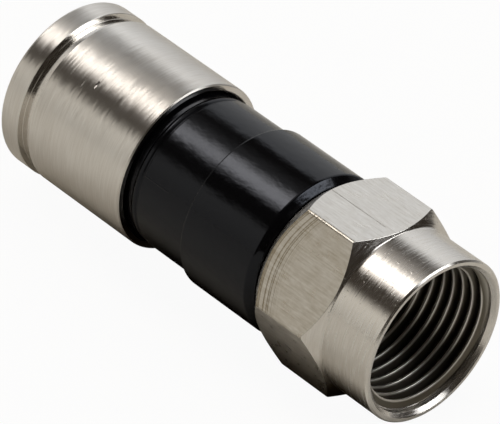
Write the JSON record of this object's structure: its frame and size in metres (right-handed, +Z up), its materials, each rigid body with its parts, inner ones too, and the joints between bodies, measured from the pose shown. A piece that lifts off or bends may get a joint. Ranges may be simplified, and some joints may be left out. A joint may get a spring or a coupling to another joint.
{
  "type": "f connector",
  "caption": "Compression F connector for coaxial cable: turning hexagon nut, black plastic body and a sleeve that slides forward to grip the cable.",
  "frame": {"origin": "on the axis, at the front face of the post's flange, which is the reference plane where the port's end seats", "axes": "+X along the connector's axis towards the port, +Z up with a flat of the nut below, the connector lying on its side"},
  "size_m": [0.032, 0.0128, 0.0114],
  "materials": {
    "nickel_nut": "turned brass with bright nickel plating",
    "nickel_post": "turned brass with nickel plating",
    "nickel_sleeve": "turned brass with satin nickel plating",
    "black_plastic": "moulded black acetal, glossy",
    "black_rubber": "smooth black rubber"
  },
  "bodies": {
    "body": {"body": "black_plastic", "post": "nickel_post", "o_ring": "black_rubber"},
    "nut": {"coupling_nut": "nickel_nut"},
    "sleeve": {"compression_sleeve": "nickel_sleeve"}
  },
  "joints": [
    {"name": "nut_spin", "type": "hinge", "parent": "body", "child": "nut", "pos_m": [0, 0, 0], "axis": [1, 0, 0], "continuous": true},
    {"name": "sleeve_slide", "type": "slide", "parent": "body", "child": "sleeve", "axis": [1, 0, 0], "range_m": [0, 0.0052]}
  ]
}
